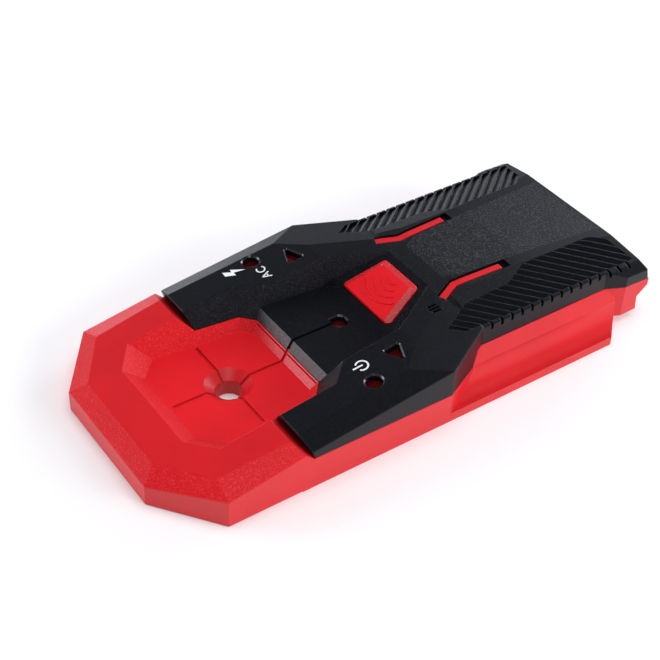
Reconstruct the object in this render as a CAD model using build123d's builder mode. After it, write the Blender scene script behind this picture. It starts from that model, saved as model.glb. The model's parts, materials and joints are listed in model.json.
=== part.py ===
"""Hand-held stud finder, built as an assembly of named pieces.

Lengths are millimetres. Everything is modelled with X = 0 on the centre line, Y measured back
from the nose and Z = 0 on the flat underside. save() then moves each piece back by half the
length, so that the origin is the bottom centre of the whole tool.
"""
import os
from math import acos, atan2, cos, degrees, radians, sin, sqrt

from build123d import *

os.makedirs("parts", exist_ok=True)

# ---- overall sizes -------------------------------------------------------------------------
LENGTH = 162.3
HALF_WIDTH = 38.8      # half the width of the head and of the base flange
NOSE_HALF = 20.8       # half the width of the front edge
CHEEK_Y = 13.8         # where the slanted cheeks meet the straight sides
HIP_Y = 84.0           # where the sides start to narrow into the grip
WAIST_Y = 101.2        # where the grip's straight sides start
GRIP_HALF = 29.8       # half the width of the grip along its ribbed edge
FLANGE_END_Y = 150.3   # rear end of the flat underside
FLANGE_TAPER = 6.4     # 45 degree corner at the rear of the flange
FLARE_HALF = 32.8      # half the width of the rear block
FLARE_START_Y = 147.0
FLARE_END_Y = 153.0
TOP_Z = 22.5
WALL = 2.0             # thickness of both housings
PART_GAP = 0.15        # joint between the two housings
EDGE_R = 0.5           # rounding of the outer edges
SOFT_ANGLE = 16.0      # faces that meet at less than this keep a plain edge
FAR = 60.0             # longer than any cut needs to be

# ---- heights along the head ----------------------------------------------------------------
NOSE_WALL_Z = 6.4
CHEEK_WALL_Z = 8.8
DECK_END_Y = 36.8
DECK_END_WALL_Z = 12.6
RIDGE_X = 33.0         # inner edge of the bevel band
COVER_Y = 38.0
COVER_Z = 15.1
COVER_WALL_Z = 13.0
HIP_WALL_Z = 18.5
PLATEAU_Y = 80.3
PLATEAU_Z = 20.8
CREST_Y = 107.0
TAIL_Y = 158.5
TAIL_Z = 21.6

# ---- hollows in the top --------------------------------------------------------------------
RECESS_Z = 7.1         # floor of the marking recess
RECESS_REAR_Y = 54.8   # where its rear slope starts
RECESS_REAR_RUN = 3.5
LIP_Z = 9.4            # fine line along the red part of the rear slope
LIP_HALF = 15.0
LIP_W = 0.35
HOLE_Y = 37.6          # marking hole
HOLE_R = 3.75
HOLE_RIM_Z = 4.7
DISH_R = 6.8
CHANNEL_Z = 13.1       # floor of the channel in front of the button
RAMP_Y = 78.7          # where the channel floor starts to rise
RAMP_TOP_Y = 97.3
RAMP_TOP_Z = 21.8

# ---- joint between the housings, as (y, z) points along the side ---------------------------
SEAM = [(39.4, 10.2), (HIP_Y, 9.8), (96.5, 8.6), (98.5, 13.3), (156.0, 13.3), (LENGTH + 2, 12.9)]

# ---- inside ---------------------------------------------------------------------------------
BOARD_T = 1.2
BOARD_Z = 7.0          # underside of the main board
SENSOR_BOARD_Z = 2.8
CELL_R = 5.25          # AAA cell
CELL_LENGTH = 44.5
CELL_X = 5.6
CELL_Z = 8.45
BAY_Y = 97.6           # front wall of the battery bay
BAY_WALL = 1.4
PLATE_T = 0.4          # battery contact sheet
DOOR_HALF = 14.0
DOOR_GAP = 0.15
SCREW_SPOTS = [(31.0, 50.0), (21.5, 105.0), (21.5, 143.0)]
TRAVEL = 0.7           # travel of the scan button

BODY_CORE = Vector(0, 80, 5)
NOSE_CORE = Vector(0, 20, 5)


def save(part, name):
    """Label a piece and write it with the origin at the bottom centre of the tool."""
    placed = part.moved(Location((0, -LENGTH / 2, 0)))
    placed.label = name
    export_step(placed, f"parts/{name}.step")


def facet(a, b, c, core=BODY_CORE):
    """Plane through three points, with its normal pointing away from the core."""
    a, b, c = Vector(a), Vector(b), Vector(c)
    normal = (b - a).cross(c - a)
    if (a - core).dot(normal) < 0:
        normal = -normal
    return Plane(origin=a, x_dir=b - a, z_dir=normal)


def both_sides(a, b, c, core=BODY_CORE):
    """The same facet on the right and, mirrored, on the left."""
    left = [(-x, y, z) for x, y, z in (a, b, c)]
    return [facet(a, b, c, core), facet(*left, core)]


def across(y1, z1, y2, z2, core=BODY_CORE):
    """Facet that runs straight across the tool, through two (y, z) points."""
    return facet((0, y1, z1), (1, y1, z1), (0, y2, z2), core)


def upright(x1, y1, x2, y2, core=BODY_CORE):
    """Upright facets through two (x, y) points, right and left."""
    return both_sides((x1, y1, 0), (x2, y2, 0), (x1, y1, 1), core)


def trimmed(skin, ends, grow=0.0):
    """A block cut by facets. The skin moves by grow; the open ends only ever move outwards."""
    with BuildPart() as block:
        with Locations((0, LENGTH / 2, 0)):
            Box(3 * FAR, LENGTH + FAR, FAR)
        for plane in skin:
            split(bisect_by=plane.offset(grow), keep=Keep.BOTTOM)
        for plane in ends:
            split(bisect_by=plane.offset(abs(grow)), keep=Keep.BOTTOM)
    return block.part


def meeting_angle(part, edge):
    """Angle in degrees between the normals of the two faces that meet at an edge."""
    first, second = [face.normal_at(edge @ 0.5) for face in part.faces() if edge in face.edges()]
    return degrees(acos(max(-1.0, min(1.0, first.dot(second)))))


def rounded(part, radius=EDGE_R):
    """The block with its clearly bent edges rounded."""
    bent = [edge for edge in part.edges() if meeting_angle(part, edge) > SOFT_ANGLE]
    return part.fillet(radius, bent)


# ---- outer facets --------------------------------------------------------------------------
UNDERSIDE = across(0, 0, 10, 0)
SIDES = upright(HALF_WIDTH, 0, HALF_WIDTH, 10)
DECK_SLOPE = 0.14
DECK_NOSE_Z = 9.25     # height of the deck plane above the front edge

NOSE_SKIN = [
    UNDERSIDE,
    across(0, 0, 0, 10),
    across(0, NOSE_WALL_Z, 4.5, DECK_NOSE_Z + 4.5 * DECK_SLOPE),
    across(0, DECK_NOSE_Z, 10, DECK_NOSE_Z + 10 * DECK_SLOPE),
    *SIDES,
    *upright(NOSE_HALF, 0, HALF_WIDTH, CHEEK_Y),
    *both_sides((NOSE_HALF, 0, NOSE_WALL_Z), (HALF_WIDTH, CHEEK_Y, CHEEK_WALL_Z), (26.1, 10.3, 10.65)),
    *both_sides(
        (HALF_WIDTH, CHEEK_Y, CHEEK_WALL_Z), (HALF_WIDTH, DECK_END_Y, DECK_END_WALL_Z), (RIDGE_X, 25.0, 12.7)
    ),
]
NOSE_END = across(35.4, 14.2, 39.4, SEAM[0][1], NOSE_CORE)
COVER_FRONT = across(37.8, COVER_Z, 39.6, SEAM[0][1])

ROOF = [
    across(COVER_Y, COVER_Z, PLATEAU_Y, PLATEAU_Z),
    across(PLATEAU_Y, PLATEAU_Z, CREST_Y, TOP_Z),
    across(CREST_Y, TOP_Z, CREST_Y + 10, TOP_Z),
    across(128.0, TOP_Z, TAIL_Y, TAIL_Z),
]
HIP_WALLS = upright(HALF_WIDTH, HIP_Y, GRIP_HALF, WAIST_Y)
COVER_SKIN = [
    *ROOF,
    *SIDES,
    COVER_FRONT,
    *both_sides(
        (HALF_WIDTH, 40.0, COVER_WALL_Z), (HALF_WIDTH, HIP_Y, HIP_WALL_Z), (RIDGE_X, 62.0, 18.3)
    ),
    *both_sides((RIDGE_X, 72.0, 19.8), (HALF_WIDTH, HIP_Y, HIP_WALL_Z), (25.7, 91.8, 20.5)),
    *HIP_WALLS,
]
LOW_END = across(0, 4, 10, 4)
COVER_ENDS = [LOW_END, across(WAIST_Y, 0, WAIST_Y, 10)]

GRIP_CREST_X = 16.1    # where the grip's sides start to fall from its roof
RIB_EDGE_Z = 19.2
RIB_TAIL_Y = 158.0
RIB_TAIL_Z = 18.9
GRIP_FOOT = 30.0       # half width at the seam
GRIP_FACETS = both_sides(
    (GRIP_CREST_X, CREST_Y, TOP_Z), (GRIP_HALF, WAIST_Y, RIB_EDGE_Z), (GRIP_HALF, RIB_TAIL_Y, RIB_TAIL_Z)
)
GRIP_SIDES = both_sides((GRIP_HALF, 100, RIB_EDGE_Z), (GRIP_HALF, 150, RIB_EDGE_Z), (GRIP_FOOT, 100, 13.4))
REAR_FACETS = [
    across(TAIL_Y, TAIL_Z, 161.3, 16.6),
    across(161.3, 16.6, LENGTH, 12.6),
]
GRIP_SKIN = [*ROOF, *GRIP_FACETS, *GRIP_SIDES, *REAR_FACETS]
GRIP_ENDS = [LOW_END, facet((0, 99.5, 0), (1, 99.5, 0), (0, 99.5, 1), Vector(0, 130, 0))]

FLARE_CORE = Vector(0, 156, 10)
FLARE_SKIN = [
    *REAR_FACETS,
    *ROOF,
    *GRIP_FACETS,
    *upright(FLARE_HALF, 0, FLARE_HALF, 10),
    *upright(GRIP_FOOT, FLARE_START_Y, FLARE_HALF, FLARE_END_Y, FLARE_CORE),
    *both_sides((FLARE_HALF, 153.0, 16.9), (FLARE_HALF, 161.0, 16.6), (GRIP_HALF, RIB_TAIL_Y, RIB_TAIL_Z)),
]
FLARE_ENDS = [
    LOW_END,
    facet((0, FLARE_START_Y, 0), (1, FLARE_START_Y, 0), (0, FLARE_START_Y, 1), FLARE_CORE),
]

# ---- facets of the hollows -----------------------------------------------------------------
RECESS_CORE = Vector(0, 38, 12)
RECESS_SKIN = [
    across(0, RECESS_Z, 10, RECESS_Z, RECESS_CORE),
    across(13.9, 11.2, 19.4, RECESS_Z, RECESS_CORE),
    across(RECESS_REAR_Y, RECESS_Z, RECESS_REAR_Y + RECESS_REAR_RUN, CHANNEL_Z, RECESS_CORE),
    *both_sides((16.2, 13.9, 11.2), (24.2, 20.2, 12.0), (16.2, 21.7, RECESS_Z), RECESS_CORE),
    *both_sides((24.2, 20.2, 12.0), (24.9, 55.5, 17.5), (18.55, 37.0, RECESS_Z), RECESS_CORE),
    *both_sides((24.9, 55.5, 17.5), (19.2, 61.5, 18.3), (16.5, 52.4, RECESS_Z), RECESS_CORE),
]
CHANNEL_CORE = Vector(0, 75, 20)
RAMP = across(RAMP_Y, CHANNEL_Z, RAMP_TOP_Y, RAMP_TOP_Z, CHANNEL_CORE)
CHANNEL_SKIN = [
    across(0, CHANNEL_Z, 10, CHANNEL_Z, CHANNEL_CORE),
    RAMP,
    *both_sides((19.2, 61.5, 18.3), (18.85, PLATEAU_Y, PLATEAU_Z), (16.0, 70.0, CHANNEL_Z), CHANNEL_CORE),
    *both_sides((18.85, PLATEAU_Y, PLATEAU_Z), (9.4, RAMP_TOP_Y, RAMP_TOP_Z), (14.0, 84.6, 15.6), CHANNEL_CORE),
]
CHANNEL_FRONT = facet((0, 53, 0), (1, 53, 0), (0, 53, 1), CHANNEL_CORE)


def hollows(grow):
    """The recess and the channel cut into the top; grown, they leave walls around themselves."""
    with BuildPart() as cut:
        add(trimmed(RECESS_SKIN, [], grow))
        add(trimmed(CHANNEL_SKIN, [CHANNEL_FRONT], grow))
    return cut.part


def cover_envelope(grow):
    """Outer shape of the upper housing; with a negative grow it is the space inside."""
    with BuildPart() as envelope:
        for skin, ends in ((COVER_SKIN, COVER_ENDS), (GRIP_SKIN, GRIP_ENDS), (FLARE_SKIN, FLARE_ENDS)):
            block = trimmed(skin, ends, grow)
            add(rounded(block) if grow == 0 else block)
    return envelope.part


def side_prism(points, half_width=FAR):
    """A profile of (y, z) points extruded across the tool."""
    with BuildPart() as prism:
        with BuildSketch(Plane.YZ):
            with BuildLine():
                Polyline(*points, close=True)
            make_face()
        extrude(amount=half_width, both=True)
    return prism.part


def above_seam(gap):
    """Everything above the joint between the housings, behind the deck."""
    line = [(y, z + gap) for y, z in SEAM]
    return side_prism([(30.0, line[0][1]), *line, (LENGTH + FAR, line[-1][1]), (LENGTH + FAR, FAR), (30.0, FAR)])


# ---- lower housing -------------------------------------------------------------------------
SCOOP_LEDGE_Z = 3.0
SCOOP_R = 6.1
SCOOP_CENTER = (38.2, SCOOP_LEDGE_Z + SCOOP_R)
REAR_LOW_Z = 2.85
REAR_NOTCH = (158.6, 7.7)
REAR_LIP_Z = 10.6


def base_block():
    """Base behind the deck: straight sides and 45 degree corners at the rear."""
    taper_y = FLANGE_END_Y - FLANGE_TAPER
    rear_half = HALF_WIDTH - FLANGE_TAPER
    with BuildPart() as block:
        with BuildSketch():
            with BuildLine():
                Polyline(
                    (-HALF_WIDTH, 36), (HALF_WIDTH, 36), (HALF_WIDTH, taper_y), (rear_half, FLANGE_END_Y),
                    (-rear_half, FLANGE_END_Y), (-HALF_WIDTH, taper_y), close=True,
                )
            make_face()
        extrude(amount=SEAM[3][1])
    return block.part


def scoop(side):
    """Finger scoop under the grip's edge: a concave curve that runs out at the hip."""
    cx, cz = SCOOP_CENTER
    with BuildPart() as cut:
        with BuildSketch(Plane.XZ):
            with BuildLine():
                foot = Line((FAR, SCOOP_LEDGE_Z), (cx, SCOOP_LEDGE_Z))
                curve = RadiusArc(foot @ 1, (cx - SCOOP_R, cz), SCOOP_R)
                Polyline(curve @ 1, (GRIP_FOOT, 13.4), (GRIP_FOOT, FAR), (FAR, FAR), foot @ 0)
            make_face()
        extrude(amount=-LENGTH)
        split(bisect_by=HIP_WALLS[0], keep=Keep.TOP)
    return cut.part if side > 0 else cut.part.mirror(Plane.YZ)


def rear_block():
    """Raised block behind the flat underside, with its overhanging lip."""
    low_y, low_z = REAR_NOTCH
    profile = [
        (147.5, 2.2), (FLANGE_END_Y, 2.2), (FLANGE_END_Y + 1, REAR_LOW_Z), (159.0, REAR_LOW_Z),
        (low_y, low_z), (LENGTH, REAR_LIP_Z), (LENGTH, FAR), (147.5, FAR),
    ]
    with BuildPart() as block:
        add(side_prism(profile, FLARE_HALF))
        for plane in upright(GRIP_FOOT, FLARE_START_Y, FLARE_HALF, FLARE_END_Y, FLARE_CORE):
            split(bisect_by=plane, keep=Keep.BOTTOM)
    return block.part


def lower_space():
    """Space inside the lower housing."""
    sides = [UNDERSIDE, *SIDES, *HIP_WALLS]
    waist = across(WAIST_Y, 0, WAIST_Y, 10)
    under_deck = [facet((0, 33, 0), (1, 33, 0), (0, 33, 1), BODY_CORE), across(0, 6.0, 10, 6.0), waist]
    behind_deck = [facet((0, 42, 0), (1, 42, 0), (0, 42, 1), BODY_CORE), waist]
    with BuildPart() as space:
        add(trimmed([*NOSE_SKIN, NOSE_END], [], -WALL))
        add(trimmed(sides, under_deck, -WALL))
        add(trimmed(sides, behind_deck, -WALL))
        with BuildSketch(Plane.XZ.offset(-92)):
            with BuildLine():
                Polyline(
                    (-33.6, WALL), (-32.4, 3.4), (-30.1, 9.1), (-28, 13.3), (-28, FAR),
                    (28, FAR), (28, 13.3), (30.1, 9.1), (32.4, 3.4), (33.6, WALL), close=True,
                )
            make_face()
        extrude(amount=-(BAY_END_Y - 92))
        with Locations((0, BAY_END_Y + WALL, REAR_LOW_Z + WALL)):
            Box(56, 156.6 - BAY_END_Y - WALL, FAR, align=(Align.CENTER, Align.MIN, Align.MIN))
        add(hollows(WALL), mode=Mode.SUBTRACT)
    return space.part


def standing_posts(spots, radius, top):
    """Round posts rising from the floor, at mirrored spots."""
    with BuildPart() as posts:
        for x, y in spots:
            with Locations((x, y, WALL), (-x, y, WALL)):
                Cylinder(radius, top - WALL, align=(Align.CENTER, Align.CENTER, Align.MIN))
    return posts.part


BAY_END_Y = 147.5
BOSS_R = 3.2
SCREW_R = 1.2
SCREW_HEAD_R = 2.5
SCREW_SEAT_Z = 3.0
GROOVE_W = 1.0
GROOVE_DEPTH = 0.65
CENTER_WINDOW_Y = 74.3
CENTER_WINDOW_FRONT = 2.2
FLOOR_ALIGN = (Align.CENTER, Align.CENTER, Align.MIN)
BACK_ALIGN = (Align.CENTER, Align.MIN, Align.MIN)


def seam_z(y):
    """Height of the joint between the housings where the screw bosses stand."""
    return SEAM[1][1] if y < SEAM[2][0] else SEAM[3][1]


def sight_marks():
    """Crossed grooves through the marking hole; the rear one runs up the channel to its window."""
    front_end = 20.2
    rear_end = CENTER_WINDOW_Y - CENTER_WINDOW_FRONT
    with BuildPart() as surface:
        add(hollows(GROOVE_DEPTH))
        with Locations((0, HOLE_Y, HOLE_RIM_Z - GROOVE_DEPTH)):
            Cone(HOLE_R, DISH_R, RECESS_Z - HOLE_RIM_Z, align=FLOOR_ALIGN)
    with BuildPart() as marks:
        with BuildSketch():
            with Locations((0, HOLE_Y)):
                Rectangle(35, GROOVE_W)
            with Locations((0, (front_end + rear_end) / 2)):
                Rectangle(GROOVE_W, rear_end - front_end)
        extrude(amount=FAR)
        add(surface.part, mode=Mode.INTERSECT)
    return marks.part


with BuildPart() as lower_housing:
    add(base_block())
    for edge_side in (1, -1):
        add(scoop(edge_side), mode=Mode.SUBTRACT)
    add(rear_block())
    add(above_seam(0), mode=Mode.SUBTRACT)
    add(rounded(trimmed([*NOSE_SKIN, NOSE_END], [])))
    add(lower_space(), mode=Mode.SUBTRACT)
    # bosses, posts and the sleeve of the marking hole
    for spot_x, spot_y in SCREW_SPOTS:
        with Locations((spot_x, spot_y, WALL), (-spot_x, spot_y, WALL)):
            Cylinder(BOSS_R, seam_z(spot_y) - WALL, align=FLOOR_ALIGN)
    add(standing_posts([(29.0, 66.0), (22.0, 91.0)], 2.0, BOARD_Z))
    add(standing_posts([(23.0, 12.0), (23.0, 55.0)], 1.6, SENSOR_BOARD_Z))
    with Locations((0, HOLE_Y, WALL)):
        Cylinder(DISH_R + 1.4, RECESS_Z - WALL, align=FLOOR_ALIGN)
    # battery bay
    with Locations((0, BAY_Y, WALL)):
        Box(2 * (DOOR_HALF + BAY_WALL), BAY_WALL, 7.0, align=BACK_ALIGN)
    bay_length = BAY_END_Y - BAY_Y
    with Locations((DOOR_HALF + 0.9, BAY_Y, WALL), (-DOOR_HALF - 0.9, BAY_Y, WALL)):
        Box(BAY_WALL, bay_length, 7.0, align=BACK_ALIGN)
    cradle = DOOR_HALF + 0.4 - 11.1
    for rib_y in (108.0, 123.0, 138.0):
        with Locations((11.1 + cradle / 2, rib_y, WALL + 0.3), (-11.1 - cradle / 2, rib_y, WALL + 0.3)):
            Box(cradle, BAY_WALL, 6.0, align=FLOOR_ALIGN)
    # everything that is cut away from the outside
    add(hollows(0), mode=Mode.SUBTRACT)
    with Locations((0, HOLE_Y, HOLE_RIM_Z)):
        Cone(HOLE_R, DISH_R, RECESS_Z - HOLE_RIM_Z, align=FLOOR_ALIGN, mode=Mode.SUBTRACT)
    with Locations((0, HOLE_Y, -1)):
        Cylinder(HOLE_R, FAR, align=FLOOR_ALIGN, mode=Mode.SUBTRACT)
    add(sight_marks(), mode=Mode.SUBTRACT)
    lip_y = RECESS_REAR_Y + RECESS_REAR_RUN * (LIP_Z - RECESS_Z) / (CHANNEL_Z - RECESS_Z)
    with Locations((0, lip_y, LIP_Z)):
        Box(2 * LIP_HALF, 2 * LIP_W, LIP_W, mode=Mode.SUBTRACT)
    for spot_x, spot_y in SCREW_SPOTS:
        with Locations((spot_x, spot_y, 0), (-spot_x, spot_y, 0)):
            Cylinder(SCREW_HEAD_R + 0.2, SCREW_SEAT_Z, align=FLOOR_ALIGN, mode=Mode.SUBTRACT)
            Cylinder(SCREW_R + 0.3, FAR, align=FLOOR_ALIGN, mode=Mode.SUBTRACT)
    door_y = BAY_Y + BAY_WALL
    with Locations((0, door_y - DOOR_GAP, -1)):
        Box(2 * (DOOR_HALF + DOOR_GAP), FLANGE_END_Y, 1 + WALL + DOOR_GAP, align=BACK_ALIGN, mode=Mode.SUBTRACT)
    with Locations((0, door_y + 2, 0.6)):
        Box(2 * (DOOR_HALF + 1.2), FLANGE_END_Y, 0.9, align=BACK_ALIGN, mode=Mode.SUBTRACT)
save(lower_housing.part, "lower_housing")


# ---- upper housing -------------------------------------------------------------------------
ROOF_TILT = degrees(atan2(PLATEAU_Z - COVER_Z, PLATEAU_Y - COVER_Y))
RAMP_TILT = degrees(atan2(RAMP_TOP_Z - CHANNEL_Z, RAMP_TOP_Y - RAMP_Y))
BUTTON_Y = 89.0
BUTTON_FRONT = 11.2    # half width at the front of the button
BUTTON_REAR = 7.7
BUTTON_REACH = 7.0     # half its length along the ramp
ROUND_WINDOW = (30.3, 63.7)
ROUND_WINDOW_R = 2.3
ARROW_X = (22.8, 29.0)
ARROW_Y = 74.5
ARROW_HALF = 2.5
ARROW_CORNER_R = 0.5
RIM = 0.5              # bevel round every window
VENT_SPOT = (17.9, 92.9)
VENT_R = 1.8
VENT_PITCH = 1.15
VENT_BAR = 0.4
ACCENT_LINE = [(15.7, 97.4), (12.7, 103.8), (13.4, 120.2)]
ACCENT_SLOT_END = (13.5, 122.8)
ACCENT_W = 2.1
ACCENT_SLOT_W = 3.4
ACCENT_DEPTH = 1.4
ACCENT_DROP = 0.3      # how far the accents lie below the roof
RIB_PITCH = 3.65
RIB_W = 2.0            # width of a groove, square to its run
RIB_DEPTH = 1.15
RIB_ANGLE = 50.0
RIB_FALL = (TOP_Z - RIB_EDGE_Z) / (GRIP_HALF - GRIP_CREST_X) * cos(radians(RIB_ANGLE))
RIB_START_Y = 96.95
RIB_COUNT = 20
RIB_BORDER = 1.1       # plain strip outside the grooves, cut only by the notches
NOTCH_START_Y = RIB_START_Y + 2 * RIB_PITCH
NOTCH_W = 0.9
NOTCH_LOW = 17.6
NOTCH_COUNT = 15
RIB_END_X = GRIP_HALF - RIB_BORDER
RIB_AREA = [
    (RIB_END_X, 95.6), (25.9, 91.4), (20.8, 101.1), (20.1, 117.5), (16.2, 126.0), (16.2, 155.0), (RIB_END_X, 158.0),
]


def roof_z(y):
    """Height of the front part of the roof."""
    return COVER_Z + (y - COVER_Y) * (PLATEAU_Z - COVER_Z) / (PLATEAU_Y - COVER_Y)


def ramp_z(y):
    """Height of the ramp."""
    return CHANNEL_Z + (y - RAMP_Y) * (RAMP_TOP_Z - CHANNEL_Z) / (RAMP_TOP_Y - RAMP_Y)


def on_roof(x, y):
    """Frame on the sloping roof, its Z axis pointing out."""
    return Plane((x, y, roof_z(y))).rotated((ROOF_TILT, 0, 0))


BUTTON_PLANE = Plane((0, BUTTON_Y, ramp_z(BUTTON_Y))).rotated((RAMP_TILT, 0, 0))


def button_outline(margin, low, high):
    """Block with the button's outline grown by a margin, between two depths under the ramp."""
    with BuildPart() as block:
        with BuildSketch(BUTTON_PLANE.offset(low)) as outline:
            with BuildLine():
                Polyline(
                    (-BUTTON_FRONT, -BUTTON_REACH), (BUTTON_FRONT, -BUTTON_REACH),
                    (BUTTON_REAR, BUTTON_REACH), (-BUTTON_REAR, BUTTON_REACH), close=True,
                )
            make_face()
            fillet(outline.vertices(), 1.4)
            offset(amount=margin, kind=Kind.INTERSECTION)
        extrude(amount=high - low)
    return block.part


def arrow_outline(side, margin, low, high, taper=0):
    """Triangular block that points outwards, between two depths under the roof."""
    base, tip = ARROW_X
    with BuildPart() as block:
        with BuildSketch(on_roof(0, ARROW_Y).offset(low)) as outline:
            with BuildLine():
                Polyline((side * base, -ARROW_HALF), (side * base, ARROW_HALF), (side * tip, 0), close=True)
            make_face()
            fillet(outline.vertices(), ARROW_CORNER_R)
            offset(amount=margin)
        extrude(amount=high - low, taper=taper)
    return block.part


def center_outline(margin, low, high, taper=0):
    """Oblong block with cut rear corners, between two heights."""
    with BuildPart() as block:
        with BuildSketch(Plane((0, CENTER_WINDOW_Y, low))) as outline:
            with BuildLine():
                Polyline(
                    (-2.2, -CENTER_WINDOW_FRONT), (2.2, -CENTER_WINDOW_FRONT), (2.2, 0.6), (1.0, 1.9), (-1.0, 1.9),
                    (-2.2, 0.6), close=True,
                )
            make_face()
            fillet(outline.vertices(), ARROW_CORNER_R)
            offset(amount=margin)
        extrude(amount=high - low, taper=taper)
    return block.part


def accent_stroke(side, width, end):
    """Upright band that follows the accent line to the given end point."""
    points = [(side * x, y) for x, y in [*ACCENT_LINE[:2], end]]
    with BuildPart() as band:
        with BuildSketch():
            with BuildLine() as path:
                Polyline(*points)
            trace(lines=path.edges(), line_width=width)
        extrude(amount=FAR)
    return band.part


def rib_section(side, index):
    """Plane across a groove, at the grip's edge: its X axis points to the rear and its Y axis up."""
    y = RIB_START_Y + index * RIB_PITCH
    z = RIB_EDGE_Z + (y - WAIST_Y) * (RIB_TAIL_Z - RIB_EDGE_Z) / (RIB_TAIL_Y - WAIST_Y)
    run_x = cos(radians(RIB_ANGLE))
    run_y = sin(radians(RIB_ANGLE))
    return Plane((side * GRIP_HALF, y, z), x_dir=(-side * run_y, run_x, 0), z_dir=(run_x, side * run_y, -side * RIB_FALL))


def ribs(side):
    """Slanted sawtooth grooves across the side of the grip, and a notch in its edge at the end of each."""
    area = [(side * x, y) for x, y in RIB_AREA]
    with BuildPart() as field:
        with BuildSketch():
            with BuildLine():
                Polyline(*area, close=True)
            make_face()
        extrude(amount=FAR)
    front, rear = -RIB_W / 2, RIB_W / 2
    with BuildPart() as grooves:
        for index in range(RIB_COUNT):
            with BuildSketch(rib_section(side, index)):
                with BuildLine():
                    Polyline((front, -RIB_DEPTH), (rear, 0), (rear, RIB_DEPTH), (front, RIB_DEPTH), close=True)
                make_face()
        extrude(amount=FAR / 2, both=True)
        add(field.part, mode=Mode.INTERSECT)
        for index in range(NOTCH_COUNT):
            with Locations((side * GRIP_HALF, NOTCH_START_Y + index * RIB_PITCH, NOTCH_LOW)):
                Box(2 * RIB_BORDER, NOTCH_W, FAR / 4, align=FLOOR_ALIGN)
    return grooves.part


def upper_bosses():
    """Screw bosses that hang from the roof down to the seam."""
    with BuildPart() as bosses:
        for spot_x, spot_y in SCREW_SPOTS:
            with Locations((spot_x, spot_y, seam_z(spot_y) + PART_GAP), (-spot_x, spot_y, seam_z(spot_y) + PART_GAP)):
                Cylinder(BOSS_R - 0.2, FAR, align=FLOOR_ALIGN)
        add(cover_envelope(-WALL / 2), mode=Mode.INTERSECT)
    return bosses.part


def cover_space():
    """Space inside the upper housing."""
    with BuildPart() as space:
        add(cover_envelope(-WALL))
        add(hollows(WALL), mode=Mode.SUBTRACT)
    return space.part


with BuildPart() as upper_housing:
    add(cover_envelope(0))
    add(cover_space(), mode=Mode.SUBTRACT)
    add(upper_bosses())
    add(hollows(0), mode=Mode.SUBTRACT)
    add(above_seam(PART_GAP), mode=Mode.INTERSECT)
    add(button_outline(0.35, -FAR / 4, FAR / 4), mode=Mode.SUBTRACT)
    for mirror_side in (1, -1):
        with Locations(on_roof(mirror_side * ROUND_WINDOW[0], ROUND_WINDOW[1])):
            Cylinder(ROUND_WINDOW_R, 8, mode=Mode.SUBTRACT)
            Cone(ROUND_WINDOW_R, ROUND_WINDOW_R + 2 * RIM, 2 * RIM, mode=Mode.SUBTRACT)
        add(arrow_outline(mirror_side, 0, -4, 4), mode=Mode.SUBTRACT)
        add(arrow_outline(mirror_side, 0, -RIM, RIM, -45), mode=Mode.SUBTRACT)
        with BuildPart(mode=Mode.PRIVATE) as slot_depth:
            add(cover_envelope(-ACCENT_DEPTH))
        add(accent_stroke(mirror_side, ACCENT_SLOT_W, ACCENT_SLOT_END) - slot_depth.part, mode=Mode.SUBTRACT)
        add(ribs(mirror_side), mode=Mode.SUBTRACT)
    add(center_outline(0, 8, 18), mode=Mode.SUBTRACT)
    add(center_outline(0, CHANNEL_Z - RIM, CHANNEL_Z + RIM, -45), mode=Mode.SUBTRACT)
    add(sight_marks(), mode=Mode.SUBTRACT)
    for slot_x in (-VENT_PITCH, 0, VENT_PITCH):
        with Locations((VENT_SPOT[0] + slot_x, VENT_SPOT[1], TOP_Z)):
            Box(VENT_PITCH - VENT_BAR, 2 * sqrt(VENT_R**2 - slot_x**2), 10, mode=Mode.SUBTRACT)
    for spot_x, spot_y in SCREW_SPOTS:
        with Locations((spot_x, spot_y, 0), (-spot_x, spot_y, 0)):
            Cylinder(SCREW_R, seam_z(spot_y) + 4.5, align=FLOOR_ALIGN, mode=Mode.SUBTRACT)
save(upper_housing.part, "upper_housing")


# ---- scan button ---------------------------------------------------------------------------
CAP_PROUD = 0.9
CAP_BEVEL = 1.9        # width of the slope along its sides and rear
CAP_BEVEL_DROP = 0.75
CAP_FRONT_BEVEL = 0.3
FLANGE_LOW = -3.3
FLANGE_HIGH = -2.1
STEM_R = 1.8
STEM_END = -4.2
ARC_CENTER = 5.2
ARC_RADII = (3.0, 5.2, 7.4, 9.6)
ARC_W = 0.45
ARC_H = 0.3


def cap_bevels():
    """Slopes along the button's sides and rear, and a thin one along its front."""
    low = CAP_PROUD - CAP_BEVEL_DROP
    core = BUTTON_PLANE.from_local_coords((0, 0, -FAR))
    corners = [
        ((BUTTON_FRONT, -BUTTON_REACH), (BUTTON_REAR, BUTTON_REACH), (-1, 0), CAP_BEVEL),
        ((-BUTTON_FRONT, -BUTTON_REACH), (-BUTTON_REAR, BUTTON_REACH), (1, 0), CAP_BEVEL),
        ((-BUTTON_REAR, BUTTON_REACH), (BUTTON_REAR, BUTTON_REACH), (0, -1), CAP_BEVEL),
        ((-BUTTON_FRONT, -BUTTON_REACH), (BUTTON_FRONT, -BUTTON_REACH), (0, 1), CAP_FRONT_BEVEL),
    ]
    slopes = []
    for (ax, ay), (bx, by), (inward_x, inward_y), width in corners:
        spots = [(ax, ay, low), (bx, by, low), (ax + inward_x * width, ay + inward_y * width, CAP_PROUD)]
        slopes.append(facet(*[BUTTON_PLANE.from_local_coords(spot) for spot in spots], core))
    return slopes


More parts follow.
